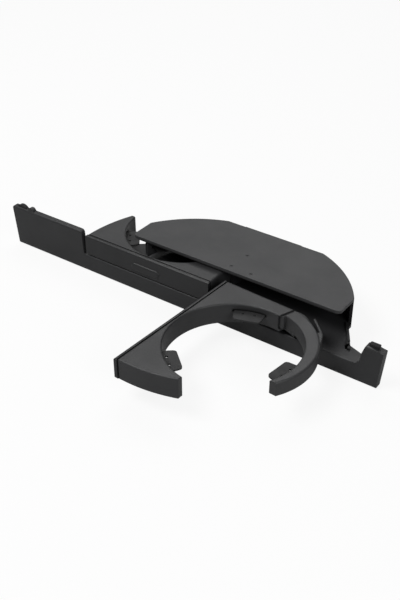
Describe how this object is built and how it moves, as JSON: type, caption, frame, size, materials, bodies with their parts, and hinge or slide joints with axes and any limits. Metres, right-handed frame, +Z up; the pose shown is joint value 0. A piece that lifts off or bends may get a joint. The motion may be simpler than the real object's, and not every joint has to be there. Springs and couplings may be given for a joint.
{
  "type": "car cup holder",
  "caption": "Dashboard cup holder insert whose ring arms swing out of a flat housing and unfold a curved finger round the cup.",
  "frame": {"origin": "middle between the two stowed arms, on the front plane of the bar, level with the bottom edge of the bar", "axes": "+X along the bar to the right as seen from the seats, +Y back into the dashboard, +Z up"},
  "size_m": [0.2793, 0.1535, 0.0309],
  "materials": {
    "housing_plastic": "fine moulded grain",
    "cover_plastic": "fine moulded grain",
    "arm_plastic": "fine moulded grain",
    "fascia_plastic": "fine moulded grain, slight sheen",
    "finger_plastic": "fine moulded grain",
    "tongue_rubber": "matt soft rubber",
    "pin_steel": "ground",
    "spring_steel": "drawn wire",
    "gear_plastic": "natural acetal",
    "damper_plastic": "smooth",
    "catch_plastic": "smooth black acetal",
    "pad_rubber": "matt rubber"
  },
  "bodies": {
    "housing": {"base": "housing_plastic", "top_cover": "cover_plastic", "left_pivot_pin": "pin_steel", "right_pivot_pin": "pin_steel", "left_damper": "damper_plastic", "right_damper": "damper_plastic", "left_drive_spring": "spring_steel", "right_drive_spring": "spring_steel", "left_catch": "catch_plastic", "right_catch": "catch_plastic", "left_pad": "pad_rubber", "right_pad": "pad_rubber"},
    "left_cup_arm": {"left_arm": "arm_plastic", "left_fascia": "fascia_plastic", "left_tongue_tip": "tongue_rubber", "left_tongue_back": "tongue_rubber", "left_finger_pin": "pin_steel", "left_finger_spring": "spring_steel"},
    "right_cup_arm": {"right_arm": "arm_plastic", "right_fascia": "fascia_plastic", "right_tongue_tip": "tongue_rubber", "right_tongue_back": "tongue_rubber", "right_finger_pin": "pin_steel", "right_finger_spring": "spring_steel"},
    "left_ring_finger": {"left_finger": "finger_plastic", "left_tongue_finger": "finger_plastic"},
    "right_ring_finger": {"right_finger": "finger_plastic", "right_tongue_finger": "finger_plastic"},
    "left_gear": {"left_pinion": "gear_plastic"},
    "right_gear": {"right_pinion": "gear_plastic"}
  },
  "joints": [
    {"name": "left_arm", "type": "hinge", "parent": "housing", "child": "left_cup_arm", "pos_m": [-0.0073, 0.0032, 0.0136], "axis": [0, 0, 1], "range_deg": [0, 91]},
    {"name": "right_arm", "type": "hinge", "parent": "housing", "child": "right_cup_arm", "pos_m": [0.0073, 0.0032, 0.0136], "axis": [0, 0, 1], "range_deg": [0, 93], "stiffness_Nm_per_rad": 0.008, "springref_deg": -45.84},
    {"name": "left_finger", "type": "hinge", "parent": "left_cup_arm", "child": "left_ring_finger", "pos_m": [-0.0066, 0.0468, 0.0166], "axis": [0, 0, 1], "range_deg": [-56.42, 0]},
    {"name": "right_finger", "type": "hinge", "parent": "right_cup_arm", "child": "right_ring_finger", "pos_m": [0.05088, 0.00162, 0.0166], "axis": [0, 0, 1], "range_deg": [-57.66, 0]},
    {"name": "left_gear", "type": "hinge", "parent": "housing", "child": "left_gear", "pos_m": [-0.02608, 0.00719, 0.0122], "axis": [0, 0, 1], "range_deg": [-345.8, 0]},
    {"name": "right_gear", "type": "hinge", "parent": "housing", "child": "right_gear", "pos_m": [0.02608, 0.00719, 0.0122], "axis": [0, 0, 1], "range_deg": [-353.4, 0]}
  ],
  "couplings": [
    {"joint": "left_finger", "follows": "left_arm", "ratio": -0.62},
    {"joint": "right_finger", "follows": "right_arm", "ratio": -0.62},
    {"joint": "left_gear", "follows": "left_arm", "ratio": -3.8},
    {"joint": "right_gear", "follows": "right_arm", "ratio": -3.8}
  ]
}
